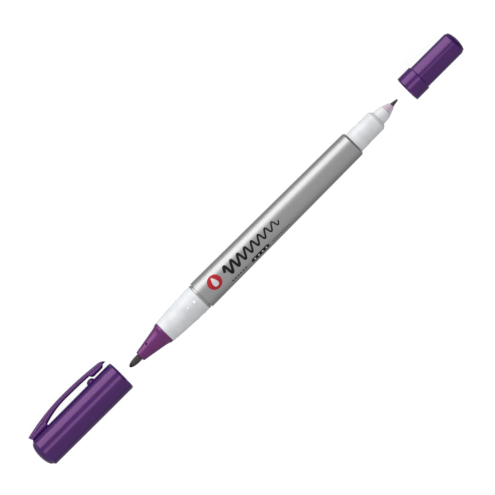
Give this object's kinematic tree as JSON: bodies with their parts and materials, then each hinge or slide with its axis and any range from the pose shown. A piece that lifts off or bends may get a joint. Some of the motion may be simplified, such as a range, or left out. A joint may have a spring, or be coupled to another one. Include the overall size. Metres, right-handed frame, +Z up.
{
  "type": "dual tip fabric marking pen",
  "caption": "Fabric marking pen with a bold nib and a fine nib at opposite ends of a tapered barrel, lying with both push-on caps pulled off in line, the larger cap with a sprung clip.",
  "frame": {"origin": "on the surface that the pen lies on, under the middle of the whole row's box with both caps off", "axes": "+X along the pen from the fine tip to the bold tip and the clip cap, +Z up, the clip on the -Y side resting on the surface"},
  "size_m": [0.2026, 0.0145, 0.0116],
  "materials": {
    "silver_barrel": "silver lacquer over moulded plastic, fine metallic fleck, satin gloss",
    "white_moulding": "cool white moulded plastic, satin",
    "ink_colour_cone": "purple moulded plastic, slightly translucent, satin",
    "nib_fibre": "bonded fibre soaked with dark ink",
    "reservoir_fibre": "loose fibre rod soaked with ink",
    "clear_film": "thin clear film",
    "tinted_sleeve": "translucent plastic stained lilac by the ink",
    "fine_nib_plastic": "hard fibre and plastic point, black with ink",
    "purple_cap": "purple moulded plastic, satin, soft reflections",
    "inner_cap": "soft white sealing plastic"
  },
  "bodies": {
    "pen_body": {"barrel": "silver_barrel", "bold_grip": "white_moulding", "nose_cone": "ink_colour_cone", "bold_nib": "nib_fibre", "ink_reservoir": "reservoir_fibre", "reservoir_film": "clear_film", "fine_neck": "white_moulding", "fine_tip_sleeve": "tinted_sleeve", "fine_nib": "fine_nib_plastic"},
    "big_cap": {"big_cap_shell": "purple_cap", "big_cap_plug": "purple_cap", "big_cap_inner_cap": "inner_cap"},
    "clip": {"clip_arm": "purple_cap"},
    "small_cap": {"small_cap_shell": "purple_cap", "small_cap_inner_cap": "inner_cap"}
  },
  "joints": [
    {"name": "big_cap_slide", "type": "slide", "parent": "pen_body", "child": "big_cap", "axis": [-1, 0, 0], "range_m": [0, 0.0384]},
    {"name": "small_cap_slide", "type": "slide", "parent": "pen_body", "child": "small_cap", "axis": [1, 0, 0], "range_m": [0, 0.0255]},
    {"name": "clip_flex", "type": "hinge", "parent": "big_cap", "child": "clip", "pos_m": [0.09123, -0.00518, 0.00197], "axis": [0, -0.5, 0.866], "range_deg": [0, 6], "stiffness_Nm_per_rad": 0.3}
  ]
}
